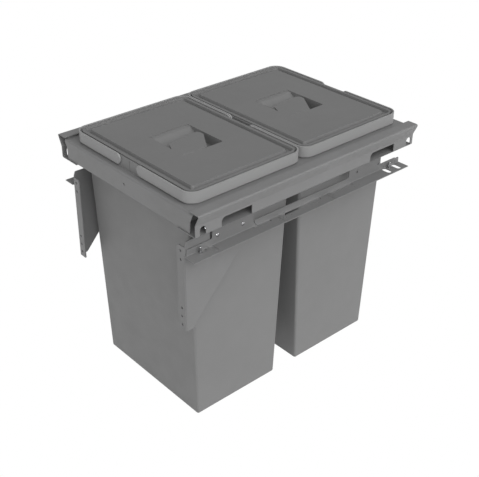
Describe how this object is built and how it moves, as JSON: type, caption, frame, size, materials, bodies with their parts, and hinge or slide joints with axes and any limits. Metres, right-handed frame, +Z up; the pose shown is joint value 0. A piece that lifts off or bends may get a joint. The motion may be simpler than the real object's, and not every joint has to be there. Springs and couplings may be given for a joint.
{
  "type": "pull out trash cabinet",
  "caption": "Pull-out waste unit for a base cabinet: lidded bins with folding handles hang in a steel frame on full-extension undermount slides with door brackets.",
  "frame": {"origin": "middle of the inner slot rectangle, on the underside of the two mounting flanges", "axes": "+X to the right seen from the door, +Y into the cabinet, +Z up"},
  "size_m": [0.4094, 0.536, 0.4924],
  "materials": {
    "frame_steel": "fine satin powder coat",
    "rail_steel": "fine satin powder coat",
    "slide_steel": "zinc plated, dull",
    "bright_steel": "polished",
    "cage_plastic": "natural",
    "bin_plastic": "fine matt texture",
    "handle_plastic": "fine matt texture",
    "lid_plastic": "fine matt texture"
  },
  "bodies": {
    "cabinet_side": {"cabinet_rail_left": "rail_steel", "cabinet_rail_right": "rail_steel", "slide_base_left": "slide_steel", "slide_base_right": "slide_steel", "base_rivets": "bright_steel", "rail_studs": "bright_steel"},
    "carriage": {"frame_rail_left": "frame_steel", "frame_rail_right": "frame_steel", "tray": "frame_steel", "slide_top_left": "slide_steel", "slide_top_right": "slide_steel", "top_rivets": "bright_steel", "door_bracket_left": "rail_steel", "door_bracket_right": "rail_steel", "bracket_screws": "slide_steel"},
    "mid_left": {"slide_mid_left": "slide_steel"},
    "outer_cage_left": {"outer_cage_left": "cage_plastic", "outer_balls_left": "bright_steel"},
    "inner_cage_left": {"inner_cage_left": "cage_plastic", "inner_balls_left": "bright_steel"},
    "mid_right": {"slide_mid_right": "slide_steel"},
    "outer_cage_right": {"outer_cage_right": "cage_plastic", "outer_balls_right": "bright_steel"},
    "inner_cage_right": {"inner_cage_right": "cage_plastic", "inner_balls_right": "bright_steel"},
    "bin_front": {"bin_front": "bin_plastic"},
    "handle_front_left": {"handle_front_left": "handle_plastic"},
    "handle_front_right": {"handle_front_right": "handle_plastic"},
    "lid_front": {"lid_front": "lid_plastic"},
    "bin_rear": {"bin_rear": "bin_plastic"},
    "handle_rear_left": {"handle_rear_left": "handle_plastic"},
    "handle_rear_right": {"handle_rear_right": "handle_plastic"},
    "lid_rear": {"lid_rear": "lid_plastic"}
  },
  "joints": [
    {"name": "pull_out", "type": "slide", "parent": "cabinet_side", "child": "carriage", "axis": [0, -1, 0], "range_m": [0, 0.47]},
    {"name": "mid_left_slide", "type": "slide", "parent": "cabinet_side", "child": "mid_left", "axis": [0, -1, 0], "range_m": [0, 0.235]},
    {"name": "outer_cage_left_roll", "type": "slide", "parent": "cabinet_side", "child": "outer_cage_left", "axis": [0, -1, 0], "range_m": [0, 0.1175]},
    {"name": "inner_cage_left_roll", "type": "slide", "parent": "cabinet_side", "child": "inner_cage_left", "axis": [0, -1, 0], "range_m": [0, 0.3525]},
    {"name": "mid_right_slide", "type": "slide", "parent": "cabinet_side", "child": "mid_right", "axis": [0, -1, 0], "range_m": [0, 0.235]},
    {"name": "outer_cage_right_roll", "type": "slide", "parent": "cabinet_side", "child": "outer_cage_right", "axis": [0, -1, 0], "range_m": [0, 0.1175]},
    {"name": "inner_cage_right_roll", "type": "slide", "parent": "cabinet_side", "child": "inner_cage_right", "axis": [0, -1, 0], "range_m": [0, 0.3525]},
    {"name": "bin_front_lift", "type": "slide", "parent": "carriage", "child": "bin_front", "axis": [0, 0, 1], "range_m": [0, 0.48]},
    {"name": "handle_front_left_fold", "type": "hinge", "parent": "bin_front", "child": "handle_front_left", "pos_m": [-0.034, -0.1308, 0.1019], "axis": [0, 1, 0], "range_deg": [0, 90]},
    {"name": "handle_front_right_fold", "type": "hinge", "parent": "bin_front", "child": "handle_front_right", "pos_m": [0.034, -0.1308, 0.1019], "axis": [0, -1, 0], "range_deg": [0, 90]},
    {"name": "lid_front_lift", "type": "slide", "parent": "bin_front", "child": "lid_front", "axis": [0, 0, 1], "range_m": [0, 0.1]},
    {"name": "bin_rear_lift", "type": "slide", "parent": "carriage", "child": "bin_rear", "axis": [0, 0, 1], "range_m": [0, 0.48]},
    {"name": "handle_rear_left_fold", "type": "hinge", "parent": "bin_rear", "child": "handle_rear_left", "pos_m": [-0.034, 0.1248, 0.1019], "axis": [0, 1, 0], "range_deg": [0, 90]},
    {"name": "handle_rear_right_fold", "type": "hinge", "parent": "bin_rear", "child": "handle_rear_right", "pos_m": [0.034, 0.1248, 0.1019], "axis": [0, -1, 0], "range_deg": [0, 90]},
    {"name": "lid_rear_lift", "type": "slide", "parent": "bin_rear", "child": "lid_rear", "axis": [0, 0, 1], "range_m": [0, 0.1]}
  ],
  "couplings": [
    {"joint": "mid_left_slide", "follows": "pull_out", "ratio": 0.5},
    {"joint": "outer_cage_left_roll", "follows": "pull_out", "ratio": 0.25},
    {"joint": "inner_cage_left_roll", "follows": "pull_out", "ratio": 0.75},
    {"joint": "mid_right_slide", "follows": "pull_out", "ratio": 0.5},
    {"joint": "outer_cage_right_roll", "follows": "pull_out", "ratio": 0.25},
    {"joint": "inner_cage_right_roll", "follows": "pull_out", "ratio": 0.75}
  ]
}
